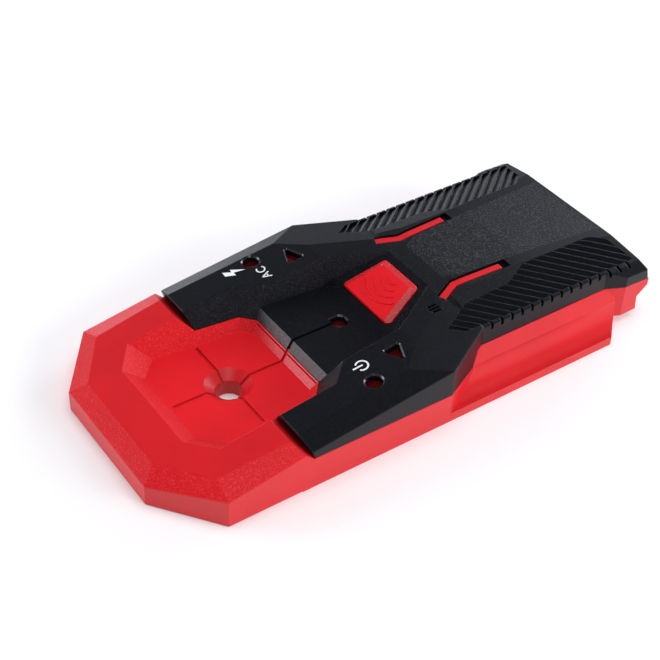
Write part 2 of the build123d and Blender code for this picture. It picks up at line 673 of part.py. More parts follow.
with BuildPart() as scan_button:
    add(button_outline(0, FLANGE_HIGH, CAP_PROUD))
    for bevel in cap_bevels():
        split(bisect_by=bevel, keep=Keep.BOTTOM)
    with BuildSketch(BUTTON_PLANE.offset(CAP_PROUD - 0.05)):
        for arc_r in ARC_RADII:
            with BuildLine() as arc:
                CenterArc((0, ARC_CENTER), arc_r, 225, 90)
            trace(lines=arc.edges(), line_width=ARC_W)
    extrude(amount=ARC_H + 0.05)
    add(button_outline(0.9, FLANGE_LOW, FLANGE_HIGH))
    with BuildSketch(BUTTON_PLANE.offset(STEM_END)):
        Circle(STEM_R)
    extrude(amount=FLANGE_LOW - STEM_END + 0.1)
save(scan_button.part, "scan_button")

# ---- switch under the button ---------------------------------------------------------------
SWITCH_LOW = -7.2
SWITCH_HIGH = -5.0
PLUNGER_R = 1.4
PLUNGER_HIGH = STEM_END - 0.05
PLUNGER_LOW = SWITCH_LOW + 0.2 + TRAVEL

with BuildPart() as tact_switch_body:
    with BuildSketch(BUTTON_PLANE.offset(SWITCH_LOW)) as switch_plan:
        Rectangle(6, 6)
        fillet(switch_plan.vertices(), 0.5)
    extrude(amount=SWITCH_HIGH - SWITCH_LOW)
    with BuildSketch(BUTTON_PLANE.offset(SWITCH_LOW + 0.2)):
        Circle(PLUNGER_R + 0.1)
    extrude(amount=FAR, mode=Mode.SUBTRACT)
save(tact_switch_body.part, "tact_switch_body")

with BuildPart() as tact_switch_plunger:
    with BuildSketch(BUTTON_PLANE.offset(PLUNGER_LOW)):
        Circle(PLUNGER_R)
    extrude(amount=PLUNGER_HIGH - PLUNGER_LOW)
save(tact_switch_plunger.part, "tact_switch_plunger")

with BuildPart() as button_board:
    with BuildSketch(BUTTON_PLANE.offset(SWITCH_LOW - 1.0)):
        Rectangle(12, 8)
    extrude(amount=1.0)
save(button_board.part, "button_board")

with BuildPart() as switch_wedge:
    wedge_y = BUTTON_Y - (SWITCH_LOW - 1.0) * BUTTON_PLANE.z_dir.Y * -1
    with Locations((0, wedge_y, BOARD_Z + BOARD_T)):
        Box(10, 6.5, FAR, align=FLOOR_ALIGN)
    split(bisect_by=BUTTON_PLANE.offset(SWITCH_LOW - 1.0), keep=Keep.BOTTOM)
save(switch_wedge.part, "switch_wedge")

# ---- accents -------------------------------------------------------------------------------
for name, side in (("accent_right", 1), ("accent_left", -1)):
    with BuildPart() as accent:
        add(accent_stroke(side, ACCENT_W, ACCENT_LINE[2]))
        add(cover_envelope(-ACCENT_DROP), mode=Mode.INTERSECT)
        add(cover_envelope(-ACCENT_DEPTH + 0.02), mode=Mode.SUBTRACT)
    save(accent.part, name)

# ---- windows and their lamps ---------------------------------------------------------------
LENS_TOP = -2.1        # the lenses sit deep below the rim of their windows
LENS_FLANGE = -WALL - 0.35
LENS_LOW = -3.2
LENS_GAP = 0.06
LAMP_R = 1.5
LAMP_Z = BOARD_Z + BOARD_T

for name, side in (("power_lens", 1), ("ac_lens", -1)):
    with BuildPart() as lens:
        with BuildSketch(on_roof(side * ROUND_WINDOW[0], ROUND_WINDOW[1]).offset(LENS_LOW)):
            Circle(ROUND_WINDOW_R - LENS_GAP)
        extrude(amount=LENS_TOP - LENS_LOW)
        with BuildSketch(on_roof(side * ROUND_WINDOW[0], ROUND_WINDOW[1]).offset(LENS_LOW)):
            Circle(ROUND_WINDOW_R + 0.5)
        extrude(amount=LENS_FLANGE - LENS_LOW)
    save(lens.part, name)

for name, side in (("arrow_lens_right", 1), ("arrow_lens_left", -1)):
    with BuildPart() as lens:
        add(arrow_outline(side, -LENS_GAP, LENS_LOW, LENS_TOP))
        add(arrow_outline(side, 0.6, LENS_LOW, LENS_FLANGE))
    save(lens.part, name)

with BuildPart() as center_lens:
    add(center_outline(-LENS_GAP, CHANNEL_Z - WALL - 1.1, CHANNEL_Z + LENS_TOP))
    add(center_outline(0.6, CHANNEL_Z - WALL - 1.1, CHANNEL_Z - WALL - 0.05))
save(center_lens.part, "center_lens")


def lamp(x, y, height):
    """Round lamp with a flat foot and a domed top."""
    with BuildPart() as body:
        with Locations((x, y, LAMP_Z)):
            Cylinder(LAMP_R + 0.3, 0.8, align=FLOOR_ALIGN)
            Cylinder(LAMP_R, height - LAMP_R, align=FLOOR_ALIGN)
        with Locations((x, y, LAMP_Z + height - LAMP_R)):
            Sphere(LAMP_R)
    return body.part


save(lamp(ROUND_WINDOW[0], ROUND_WINDOW[1] + 0.6, 6.2), "power_led")
save(lamp(-ROUND_WINDOW[0], ROUND_WINDOW[1] + 0.6, 6.2), "ac_led")
save(lamp(sum(ARROW_X) / 2, ARROW_Y + 0.4, 7.4), "arrow_led_right")
save(lamp(-sum(ARROW_X) / 2, ARROW_Y + 0.4, 7.4), "arrow_led_left")
with BuildPart() as center_led:
    with Locations((0, CENTER_WINDOW_Y, LAMP_Z)):
        Box(3.5, 2.8, 1.4, align=FLOOR_ALIGN)
save(center_led.part, "center_led")

# ---- boards and what stands on them --------------------------------------------------------
BOARD_FRONT_Y = 61.5
BOARD_REAR_Y = 95.0
BUZZER_R = 5.0

with BuildPart() as main_board:
    with BuildSketch(Plane.XY.offset(BOARD_Z)):
        with BuildLine():
            Polyline(
                (-33.5, BOARD_FRONT_Y), (33.5, BOARD_FRONT_Y), (33.5, 85), (27.5, BOARD_REAR_Y),
                (-27.5, BOARD_REAR_Y), (-33.5, 85), close=True,
            )
        make_face()
    extrude(amount=BOARD_T)
save(main_board.part, "main_board")

with BuildPart() as sensor_board:
    with BuildSketch(Plane.XY.offset(SENSOR_BOARD_Z)):
        with BuildLine():
            Polyline(
                (-20, 8), (20, 8), (26, 14), (26, 67), (-26, 67), (-26, 14), close=True,
            )
        make_face()
        with Locations((0, HOLE_Y)):
            Circle(DISH_R + 1.8, mode=Mode.SUBTRACT)
    extrude(amount=BOARD_T)
save(sensor_board.part, "sensor_board")

PLATE_Z = SENSOR_BOARD_Z + BOARD_T
for name, x, y, wide, deep in (
    ("sensor_plate_left", -17.0, 25.0, 12, 22),
    ("sensor_plate_right", 17.0, 25.0, 12, 22),
    ("sensor_plate_rear", 0, 53.0, 14, 10),
):
    with BuildPart() as sensor_plate:
        with Locations((x, y, PLATE_Z)):
            Box(wide, deep, 0.3, align=FLOOR_ALIGN)
    save(sensor_plate.part, name)

with BuildPart() as sensor_header:
    with Locations((0, 64.5, PLATE_Z)):
        Box(16, 2.6, BOARD_Z - PLATE_Z, align=FLOOR_ALIGN)
save(sensor_header.part, "sensor_header")


def chip(x, y, z, size, height, pins):
    """Square chip with a row of flat leads on each side."""
    with BuildPart() as body:
        with Locations((x, y, z + 0.1)):
            Box(size, size, height, align=FLOOR_ALIGN)
        pitch = size / (pins + 1)
        for index in range(pins):
            step = (index + 1) * pitch - size / 2
            with Locations((x + step, y, z)):
                Box(pitch / 2, size + 1.6, 0.3, align=FLOOR_ALIGN)
            with Locations((x, y + step, z)):
                Box(size + 1.6, pitch / 2, 0.3, align=FLOOR_ALIGN)
    return body.part


save(chip(-17.0, 50.0, PLATE_Z, 5.0, 0.8, 6), "sensor_chip")
save(chip(-17.5, 86.0, LAMP_Z, 9.0, 1.4, 10), "controller_chip")

with BuildPart() as filter_capacitors:
    with Locations((10.5, 66, LAMP_Z), (14.5, 70, LAMP_Z), (-10.5, 67, LAMP_Z)):
        Cylinder(1.5, 2.6, align=FLOOR_ALIGN)
save(filter_capacitors.part, "filter_capacitors")

with BuildPart() as piezo_buzzer:
    with Locations((VENT_SPOT[0], VENT_SPOT[1] - 4, LAMP_Z)):
        Cylinder(BUZZER_R, 4.5, align=FLOOR_ALIGN)
        Cylinder(1.0, 5.0, align=FLOOR_ALIGN, mode=Mode.SUBTRACT)
save(piezo_buzzer.part, "piezo_buzzer")

# ---- battery bay ---------------------------------------------------------------------------
BAY_FRONT = BAY_Y + BAY_WALL
NUB_R = 2.2
NUB = 1.0
SPRING_R = 2.6
SPRING_WIRE = 0.3      # radius of the wire
SPRING_PITCH = 0.85
CELL_SHIFT = 3.2       # room for a contact spring
LEAD_X = 8.6


def cell(x, start_y, nub_at_rear):
    """AAA cell that lies along Y, with its raised end at the front or the rear."""
    can = CELL_LENGTH - NUB
    with BuildPart() as body:
        with BuildSketch(Plane.XZ.offset(-start_y - (0 if nub_at_rear else NUB))):
            with Locations((x, CELL_Z)):
                Circle(CELL_R)
        extrude(amount=-can)
        chamfer(body.edges(), 0.4)
        with BuildSketch(Plane.XZ.offset(-start_y)):
            with Locations((x, CELL_Z)):
                Circle(NUB_R)
        extrude(amount=-CELL_LENGTH if nub_at_rear else -NUB - 1)
    return body.part


save(cell(-CELL_X, BAY_FRONT + PLATE_T + CELL_SHIFT, True), "battery_cell_left")
save(cell(CELL_X, BAY_FRONT + PLATE_T, False), "battery_cell_right")

for name, side in (("contact_plate_negative", -1), ("contact_plate_positive", 1)):
    with BuildPart() as contact_plate:
        with Locations((side * CELL_X, BAY_FRONT, CELL_Z - 4.6)):
            Box(9, PLATE_T, 9.2, align=BACK_ALIGN)
        with Locations((side * LEAD_X, BAY_FRONT, CELL_Z + 4)):
            Box(2.4, PLATE_T, 3.6, align=BACK_ALIGN)
    save(contact_plate.part, name)

BRIDGE_Y = BAY_END_Y - PLATE_T
with BuildPart() as contact_bridge:
    with Locations((0, BRIDGE_Y, CELL_Z - 4.6)):
        Box(2 * CELL_X + 9, PLATE_T, 9.2, align=BACK_ALIGN)
save(contact_bridge.part, "contact_bridge")

for name, spring_x, spring_y in (
    ("battery_spring_front", -CELL_X, BAY_FRONT + PLATE_T),
    ("battery_spring_rear", CELL_X, BRIDGE_Y - CELL_SHIFT),
):
    with BuildPart() as spring:
        with BuildLine() as coil:
            Helix(
                pitch=SPRING_PITCH, height=CELL_SHIFT - 2.2 * SPRING_WIRE, radius=SPRING_R,
                center=(spring_x, spring_y + 1.1 * SPRING_WIRE, CELL_Z), direction=(0, 1, 0),
            )
        with BuildSketch(Plane(origin=coil.line @ 0, z_dir=coil.line % 0)):
            Circle(SPRING_WIRE)
        sweep(path=coil.line)
    save(spring.part, name)

for name, side in (("battery_lead_negative", -1), ("battery_lead_positive", 1)):
    with BuildPart() as lead:
        with BuildLine() as route:
            Spline(
                (side * LEAD_X, BAY_FRONT - 0.65, CELL_Z + 5.6),
                (side * LEAD_X, BAY_Y - 1.5, CELL_Z + 4.5),
                (side * (LEAD_X + 1), BOARD_REAR_Y - 2.5, LAMP_Z + 0.3),
                tangents=((0, -1, 0.2), (0, -0.4, -1)),
            )
        with BuildSketch(Plane(origin=route.line @ 0, z_dir=route.line % 0)):
            Circle(0.6)
        sweep(path=route.line)
    save(lead.part, name)

with BuildPart() as battery_door:
    door_start = BAY_Y + BAY_WALL
    with BuildSketch():
        with Locations((0, door_start)):
            Rectangle(2 * DOOR_HALF, FLANGE_END_Y - door_start, align=(Align.CENTER, Align.MIN))
    extrude(amount=WALL)
    with Locations((0, door_start + 3, 0.7)):
        Box(2 * DOOR_HALF + 2, FLANGE_END_Y - door_start - 3, 0.65, align=BACK_ALIGN)
    for index in range(6):
        with Locations((0, FLANGE_END_Y - 5 - 1.8 * index, 0)):
            Box(14, 0.8, 0.8, mode=Mode.SUBTRACT)
save(battery_door.part, "battery_door")

with BuildPart() as housing_screws:
    for spot_x, spot_y in SCREW_SPOTS:
        with Locations((spot_x, spot_y, SCREW_SEAT_Z - 1.6), (-spot_x, spot_y, SCREW_SEAT_Z - 1.6)):
            Cylinder(SCREW_HEAD_R, 1.6, align=FLOOR_ALIGN)
            Cylinder(SCREW_R, seam_z(spot_y) + 2.2, align=FLOOR_ALIGN)
            Box(2.8, 0.6, 1.6, mode=Mode.SUBTRACT)
            Box(0.6, 2.8, 1.6, mode=Mode.SUBTRACT)
save(housing_screws.part, "housing_screws")
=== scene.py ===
"""Looks of the stud finder: materials, markings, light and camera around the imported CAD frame."""
import json
import math

import bpy
from mathutils import Matrix, Vector


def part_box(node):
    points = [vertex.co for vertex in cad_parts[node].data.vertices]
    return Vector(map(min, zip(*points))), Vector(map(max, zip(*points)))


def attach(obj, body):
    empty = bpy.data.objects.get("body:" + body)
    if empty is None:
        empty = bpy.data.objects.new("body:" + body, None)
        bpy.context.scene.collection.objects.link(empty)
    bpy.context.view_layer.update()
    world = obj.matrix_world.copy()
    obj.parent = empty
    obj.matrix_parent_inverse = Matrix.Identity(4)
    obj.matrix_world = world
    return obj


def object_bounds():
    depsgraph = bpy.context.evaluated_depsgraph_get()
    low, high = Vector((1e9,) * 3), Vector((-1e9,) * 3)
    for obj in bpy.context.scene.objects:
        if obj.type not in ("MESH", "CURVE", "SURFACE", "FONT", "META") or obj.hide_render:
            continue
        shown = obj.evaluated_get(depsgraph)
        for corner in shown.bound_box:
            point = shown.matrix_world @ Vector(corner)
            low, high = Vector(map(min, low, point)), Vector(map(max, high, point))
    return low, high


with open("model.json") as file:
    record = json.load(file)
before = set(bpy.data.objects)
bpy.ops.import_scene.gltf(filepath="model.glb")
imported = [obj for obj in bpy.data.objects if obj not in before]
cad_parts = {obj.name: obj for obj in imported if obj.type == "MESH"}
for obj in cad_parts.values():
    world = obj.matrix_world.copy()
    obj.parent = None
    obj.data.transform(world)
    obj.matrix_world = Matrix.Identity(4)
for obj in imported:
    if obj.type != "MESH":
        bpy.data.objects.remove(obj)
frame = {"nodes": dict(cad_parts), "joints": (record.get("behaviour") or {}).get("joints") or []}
nodes = frame["nodes"]
cad_low, cad_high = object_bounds()

MM = 0.001
NOSE_Y = cad_low.y                      # the front edge; distances along the tool count from here
TOP_Z = cad_high.z


def at(x, y, z):
    """Point in metres from millimetres, y counted from the nose."""
    return Vector((x * MM, NOSE_Y + y * MM, z * MM))


def in_mm(spot):
    """Point in millimetres from metres, y counted from the nose."""
    return Vector((spot.x / MM, (spot.y - NOSE_Y) / MM, spot.z / MM))


# ---- camera --------------------------------------------------------------------------------
CAMERA_AZIMUTH = math.radians(53.72)
CAMERA_ELEVATION = math.radians(40.16)
CAMERA_ROLL = math.radians(2.43)
CAMERA_TARGET = at(-10.55, 78.67, 0)
CAMERA_DISTANCE = 0.41126
CAMERA_LENS = 76.72


def make_camera():
    """Camera at the front right of the tool, looking down on it, with a slight roll."""
    right = Vector((math.cos(CAMERA_AZIMUTH), math.sin(CAMERA_AZIMUTH), 0))
    level = math.cos(CAMERA_ELEVATION)
    back = Vector((right.y * level, -right.x * level, math.sin(CAMERA_ELEVATION)))
    up = back.cross(right)
    across = right * math.cos(CAMERA_ROLL) + up * math.sin(CAMERA_ROLL)
    upward = up * math.cos(CAMERA_ROLL) - right * math.sin(CAMERA_ROLL)
    data = bpy.data.cameras.new("camera")
    data.lens = CAMERA_LENS
    data.clip_start = 0.01
    camera = bpy.data.objects.new("camera", data)
    turn = Matrix((across, upward, back)).transposed().to_4x4()
    camera.matrix_world = Matrix.Translation(CAMERA_TARGET + back * CAMERA_DISTANCE) @ turn
    bpy.context.scene.collection.objects.link(camera)
    bpy.context.scene.camera = camera


# ---- node helpers --------------------------------------------------------------------------
STREAK_SCALE = (2400.0, 160.0, 2400.0)  # stretched along the tool


class Graph:
    """A material's node tree, with short calls for the nodes used here."""

    def __init__(self, name):
        self.material = bpy.data.materials.new(name)
        self.material.use_nodes = True
        self.tree = self.material.node_tree
        self.shader = self.tree.nodes["Principled BSDF"]

    def add(self, kind, settings=None, **inputs):
        """New node; inputs are constants or other nodes' outputs."""
        made = self.tree.nodes.new(kind)
        for key, value in (settings or {}).items():
            setattr(made, key, value)
        for key, value in inputs.items():
            socket = made.inputs[int(key[1:])] if key[0] == "i" and key[1:].isdigit() else made.inputs[key]
            self.feed(socket, value)
        return made

    def feed(self, socket, value):
        """Link an output, or set a constant."""
        if isinstance(value, bpy.types.NodeSocket):
            self.tree.links.new(value, socket)
        else:
            socket.default_value = value

    def place(self):
        """Position on the object, in metres."""
        return self.add("ShaderNodeTexCoord").outputs["Object"]

    def noise(self, scale, detail=2.0, rough=0.5):
        """Noise between 0 and 1 over the object's position."""
        made = self.add("ShaderNodeTexNoise", Scale=scale, Detail=detail, Roughness=rough)
        self.feed(made.inputs["Vector"], self.place())
        return made.outputs["Fac"]

    def ramp(self, value, low, high, to_low=0.0, to_high=1.0):
        """Straight-line remap, held at its ends."""
        made = self.add("ShaderNodeMapRange", i0=value, i1=low, i2=high, i3=to_low, i4=to_high)
        return made.outputs[0]

    def math(self, operation, first, second=0.0, third=0.0):
        """One arithmetic step."""
        return self.add("ShaderNodeMath", {"operation": operation}, i0=first, i1=second, i2=third).outputs[0]

    def mix(self, factor, first, second):
        """Blend of two colours."""
        made = self.add("ShaderNodeMix", {"data_type": "RGBA"}, i0=factor, i6=first, i7=second)
        return made.outputs[2]

    def streaks(self):
        """Fine scratches along the tool, as a value between 0 and 1."""
        stretched = self.add("ShaderNodeMapping", Vector=self.place())
        stretched.inputs["Scale"].default_value = STREAK_SCALE
        made = self.add("ShaderNodeTexNoise", Scale=1.0, Detail=3.0, Roughness=0.6)
        self.feed(made.inputs["Vector"], stretched.outputs["Vector"])
        return made.outputs["Fac"]

    def bump(self, height, distance, normal=None):
        """Bumped normal from a height between 0 and 1 that stands for a distance in metres."""
        made = self.add("ShaderNodeBump", Height=height, Distance=distance)
        if normal is not None:
            self.feed(made.inputs["Normal"], normal)
        return made.outputs["Normal"]


def colour(red, green, blue):
    """Opaque colour for a socket."""
    return (red, green, blue, 1.0)


DRIFT_SCALE = 55.0                      # how fine the slow colour drift is, and its two tones
DRIFT_DARK = 0.93
DRIFT_LIGHT = 1.05
GLINT_RANGE = (0.50, 0.64)              # part of the grain that gets painted glints: bright specks lifted toward white
GLINT_GAIN = 1.1
SCUFF_RANGE = (0.66, 0.74)              # part of the streaks that shows as scuffs
SCUFF_SHARE = 0.35
SCUFF_GAIN = 1.15
SCUFF_LIFT = 0.004
SCUFF_ROUGHNESS = 0.08
MOTTLE_SCALE = 900.0                    # uneven polish
OFF_MASK_DEPTH = 0.3                    # grain and painted glints outside a mask, as shares of those inside
OFF_MASK_GLINT = 0.25


def moulded(name, base, roughness, grain_scale, grain_depth, glint=0.0, gloss=0.5, tinge=None, mask=None):
    """Moulded plastic: faint colour drift, a fine grain with painted glints on it, light scuffs, and edges
    that catch the light.

    With a mask, the tinge colour and the full grain are kept for the places inside it.
    """
    graph = Graph(name)
    shader = graph.shader
    darker = colour(*(channel * DRIFT_DARK for channel in base))
    lighter = colour(*(channel * DRIFT_LIGHT for channel in base))
    tone = graph.mix(graph.ramp(graph.noise(DRIFT_SCALE, 3.0), 0.3, 0.7), darker, lighter)
    grain = graph.noise(grain_scale, 2.0, 0.6)
    depth = grain_depth
    if mask is not None:
        inside = mask(graph)
        tone = graph.mix(inside, tone, colour(*tinge))
        depth = graph.ramp(inside, 0.0, 1.0, grain_depth * OFF_MASK_DEPTH, grain_depth)
    # Painted glints: bright specks, lifted toward white, on part of the grain
    if glint:
        glint_colour = colour(*(channel * GLINT_GAIN + glint for channel in (tinge or base)))
        glints = graph.ramp(grain, *GLINT_RANGE)
        if mask is not None:
            glints = graph.math("MULTIPLY", glints, graph.ramp(inside, 0.0, 1.0, OFF_MASK_GLINT, 1.0))
        tone = graph.mix(glints, tone, glint_colour)
    scuffs = graph.ramp(graph.streaks(), *SCUFF_RANGE)
    scuffed = colour(*(channel * SCUFF_GAIN + SCUFF_LIFT for channel in base))
    worn = graph.math("MULTIPLY", scuffs, SCUFF_SHARE)
    graph.feed(shader.inputs["Base Color"], graph.mix(worn, tone, scuffed))
    mottle = graph.ramp(graph.noise(MOTTLE_SCALE, 4.0), 0.35, 0.7, roughness - 0.02, roughness + 0.04)
    graph.feed(shader.inputs["Roughness"], graph.math("MULTIPLY_ADD", scuffs, SCUFF_ROUGHNESS, mottle))
    shader.inputs["Specular IOR Level"].default_value = gloss
    rounded = graph.add("ShaderNodeBevel", {"samples": 6}, Radius=EDGE).outputs["Normal"]
    graph.feed(shader.inputs["Normal"], graph.bump(grain, depth, rounded))
    return graph.material


FAINT_WAVE = 0.000003                   # unevenness of polished faces, in metres
TARNISH_TONE = 0.72
TARNISH_DULL = 0.18                     # how much rougher tarnished spots are
COAT = 0.6
COAT_DULL = 0.06
TRACK_SCALE = 230.0                     # how close together a board's tracks lie
TRACK_WIDTH = 0.06
TRACK_HEIGHT = 0.00004
SPECKLE_TONE = 1.3


def metal(name, base, roughness, brush=FAINT_WAVE):
    """Bare or plated metal with faint tarnish and brushing."""
    graph = Graph(name)
    shader = graph.shader
    dull = colour(*(channel * TARNISH_TONE for channel in base))
    tarnish = graph.ramp(graph.noise(700.0, 5.0), 0.42, 0.7)
    graph.feed(shader.inputs["Base Color"], graph.mix(tarnish, colour(*base), dull))
    graph.feed(shader.inputs["Roughness"], graph.ramp(tarnish, 0.0, 1.0, roughness, roughness + TARNISH_DULL))
    shader.inputs["Metallic"].default_value = 1.0
    height = graph.streaks() if brush > FAINT_WAVE else graph.noise(4000.0)
    graph.feed(shader.inputs["Normal"], graph.bump(height, brush))
    return graph.material


def glossy(name, base, deep, roughness):
    """Clear-coated plastic that looks deeper in places: lenses, lamps and sleeves."""
    graph = Graph(name)
    shader = graph.shader
    cloud = graph.ramp(graph.noise(600.0, 3.0), 0.3, 0.7)
    graph.feed(shader.inputs["Base Color"], graph.mix(cloud, colour(*deep), colour(*base)))
    graph.feed(shader.inputs["Roughness"], graph.ramp(cloud, 0.0, 1.0, roughness, roughness + COAT_DULL))
    shader.inputs["Coat Weight"].default_value = COAT
    graph.feed(shader.inputs["Normal"], graph.bump(graph.noise(2500.0), FAINT_WAVE))
    return graph.material


def board(name, mask_tone, trace_tone):
    """Solder mask over copper tracks, which show as slightly raised paler lines."""
    graph = Graph(name)
    shader = graph.shader
    tracks = graph.add("ShaderNodeTexBrick", {"offset": 0.37}, Scale=TRACK_SCALE, Bias=0.0)
    graph.feed(tracks.inputs["Vector"], graph.place())
    tracks.inputs["Mortar Size"].default_value = TRACK_WIDTH
    line = tracks.outputs["Fac"]
    speckle = graph.ramp(graph.noise(3500.0), 0.4, 0.7)
    paler = colour(*(channel * SPECKLE_TONE for channel in mask_tone))
    flat = graph.mix(speckle, colour(*mask_tone), paler)
    graph.feed(shader.inputs["Base Color"], graph.mix(line, flat, colour(*trace_tone)))
    graph.feed(shader.inputs["Roughness"], graph.ramp(speckle, 0.0, 1.0, 0.3, 0.42))
    graph.feed(shader.inputs["Normal"], graph.bump(line, TRACK_HEIGHT))
    return graph.material


# ---- materials -----------------------------------------------------------------------------
EDGE = 0.25 * MM                        # how far the sharp edges look rounded
RED = (0.60, 0.0085, 0.0135)
# Red brightened beyond RED: painted light for the recess floor and the button top
RED_PAINTED_LIT = (0.76, 0.0105, 0.0175)
BLACK = (0.0040, 0.0043, 0.0064)
PANEL = (0.0048, 0.0058, 0.0082)
PANEL_FRONT = 103.0                     # the coarse panel on the grip, in mm from the nose
PANEL_REAR = 157.5
PANEL_HALF = (8.6, 10.6, 14.2)          # half width at its front, at its shoulders and at its rear
SHOULDER = 4.0


def panel_mask(graph):
    """1 on the coarse panel along the middle of the grip, 0 around it."""
    spot = graph.add("ShaderNodeSeparateXYZ", Vector=graph.place())
    across = graph.math("ABSOLUTE", spot.outputs["X"])
    along = spot.outputs["Y"]
    front = NOSE_Y + PANEL_FRONT * MM
    shoulder = front + SHOULDER * MM
    rear = NOSE_Y + PANEL_REAR * MM
    widths = [half * MM for half in PANEL_HALF]
    near_front = graph.ramp(along, front, shoulder, widths[0], widths[1])
    behind = graph.ramp(along, shoulder, rear, 0.0, widths[2] - widths[1])
    half = graph.math("ADD", near_front, behind)
    within = graph.math("LESS_THAN", across, half)
    after_front = graph.math("GREATER_THAN", along, front)
    before_rear = graph.math("LESS_THAN", along, rear)
    return graph.math("MULTIPLY", within, graph.math("MULTIPLY", after_front, before_rear))


# A speck value gives a material painted glints on its grain
red_smooth = moulded("red_smooth", RED, 0.38, 2600.0, 0.000006)
# Lit copy of the red: painted light
red_painted_lit = moulded("red_painted_lit", RED_PAINTED_LIT, 0.40, 2600.0, 0.000010, gloss=0.3)
red_grain = moulded("red_grain", RED, 0.46, 2100.0, 0.00006, glint=0.02, gloss=0.18)
red_fine = moulded("red_fine", RED, 0.40, 2600.0, 0.000012, gloss=0.3)
red_bevel = moulded("red_bevel", RED, 0.34, 2300.0, 0.00003, glint=0.05, gloss=1.0)
black_smooth = moulded("black_smooth", BLACK, 0.34, 2600.0, 0.000008, gloss=0.27)
black_rim = moulded("black_rim", BLACK, 0.22, 2600.0, 0.000005, gloss=1.0)
black_bevel = moulded("black_bevel", BLACK, 0.36, 2200.0, 0.00005, glint=0.045, gloss=0.9)
black_fine = moulded("black_fine", BLACK, 0.42, 2400.0, 0.000025, glint=0.005, gloss=0.22)
black_grain = moulded("black_grain", BLACK, 0.38, 2300.0, 0.00014, glint=0.014, gloss=0.25)
black_panel = moulded("black_panel", BLACK, 0.44, 2200.0, 0.00012, 0.038, 0.25, PANEL, panel_mask)
lens_red = glossy("lens_red", (0.085, 0.002, 0.003), (0.04, 0.001, 0.001), 0.12)
lamp_white = glossy("lamp_white", (0.72, 0.72, 0.68), (0.60, 0.60, 0.56), 0.25)
sleeve = glossy("sleeve", (0.05, 0.055, 0.065), (0.035, 0.04, 0.05), 0.22)
sleeve_band = glossy("sleeve_band", (0.55, 0.30, 0.10), (0.45, 0.24, 0.08), 0.25)
wire_red = glossy("wire_red", (0.50, 0.012, 0.012), (0.42, 0.010, 0.010), 0.35)
wire_black = glossy("wire_black", (0.018, 0.018, 0.018), (0.012, 0.012, 0.012), 0.35)
green_board = board("green_board", (0.010, 0.105, 0.040), (0.020, 0.190, 0.075))
copper = metal("copper", (0.80, 0.42, 0.24), 0.24)
steel = metal("steel", (0.60, 0.60, 0.62), 0.30, 0.00001)
nickel = metal("nickel", (0.78, 0.77, 0.74), 0.20, 0.000006)
chip_black = moulded("chip_black", (0.020, 0.020, 0.022), 0.55, 5000.0, 0.00001, gloss=0.3)
mark_white = moulded("mark_white", (0.82, 0.83, 0.84), 0.50, 4000.0, 0.000004, gloss=0.3)


def paint(name, *materials):
    """Give a CAD node these materials, the first one everywhere."""
    mesh = nodes[name].data
    mesh.materials.clear()
    for material in materials:
        mesh.materials.append(material)
    for polygon in mesh.polygons:
        polygon.material_index = 0
    return mesh


def paint_zone(mesh, material, wanted):
    """Use one of the mesh's materials on the faces that are wanted."""
    index = mesh.materials.find(material.name)
    for polygon in mesh.polygons:
        if wanted(polygon.center, polygon.normal):
            polygon.material_index = index


# ---- housings ------------------------------------------------------------------------------
# A face belongs to a zone by the place of its centre, in mm, and by how far its normal points up.
LEVEL = 0.97                            # faces this level or more count as flat
NEARLY_LEVEL = 0.9
STEEP = 0.2                             # faces steeper than this count as upright
BAND_TILT = (0.75, 0.965)               # how far up the faces of the bevel band point
BAND_INNER_X = 32.6                     # the band lies outside this, or in front of BAND_FRONT_Y
BAND_FRONT_Y = 16.5
BAND_END_Y = 40.0
DECK_LOW_Z = 9.0                        # the deck lies above this and the recess floor below it
RECESS_WALLS = (27.0, 12.0, 60.0)       # half width, front and rear of the recess at its rim
RECESS_WALL_LOW_Z = 7.0
RECESS_FLOOR = (21.0, 15.0, 57.0)       # the same at its floor
RECESS_FLOOR_HIGH_Z = 7.5
REAR_SLOPE_Y = (52.0, 62.0)
REAR_SLOPE_FACING = -0.7
ARM_INNER_X = 9.0
ARM_END_Y = 101.0
GRIP_START_Y = 96.0
RIM_REACH = 4.4                         # the bevels' faces lie nearer than this to a window's middle
RIM_TILT = (0.45, 0.93)
LENSES = ("power_lens", "ac_lens", "arrow_lens_right", "arrow_lens_left", "center_lens")


def within(spot, area):
    """True inside an area given by its half width, front and rear."""
    half_width, front, rear = area
    return abs(spot.x) < half_width and front < spot.y < rear


def on_bevel_band(center, normal):
    """Faces of the sloping band that runs round the outside of the head."""
    spot = in_mm(center)
    tilted = BAND_TILT[0] < normal.z < BAND_TILT[1] and spot.y < BAND_END_Y
    return tilted and (abs(spot.x) > BAND_INNER_X or spot.y < BAND_FRONT_Y)


def on_deck(center, normal):
    """Flat deck round the recess."""
    return normal.z > LEVEL and in_mm(center).z > DECK_LOW_Z


def on_recess_wall(center, normal):
    """Sloping walls of the marking recess."""
    spot = in_mm(center)
    sloping = STEEP < normal.z < NEARLY_LEVEL
    return within(spot, RECESS_WALLS) and sloping and spot.z > RECESS_WALL_LOW_Z


def on_recess_floor(center, normal):
    """Floor of the marking recess."""
    spot = in_mm(center)
    return within(spot, RECESS_FLOOR) and normal.z > NEARLY_LEVEL and spot.z < RECESS_FLOOR_HIGH_Z


def on_rear_slope(center, normal):
    """Slope behind the recess, which both housings share; it faces the front."""
    behind = REAR_SLOPE_Y[0] < in_mm(center).y < REAR_SLOPE_Y[1]
    return behind and normal.y < REAR_SLOPE_FACING and normal.z > STEEP


def on_arm_slope(center, normal):
    """Slopes of the two arms that face the channel and the recess."""
    spot = in_mm(center)
    inward = normal.x * spot.x < 0
    return inward and STEEP < normal.z < LEVEL and spot.y < ARM_END_Y and abs(spot.x) > ARM_INNER_X


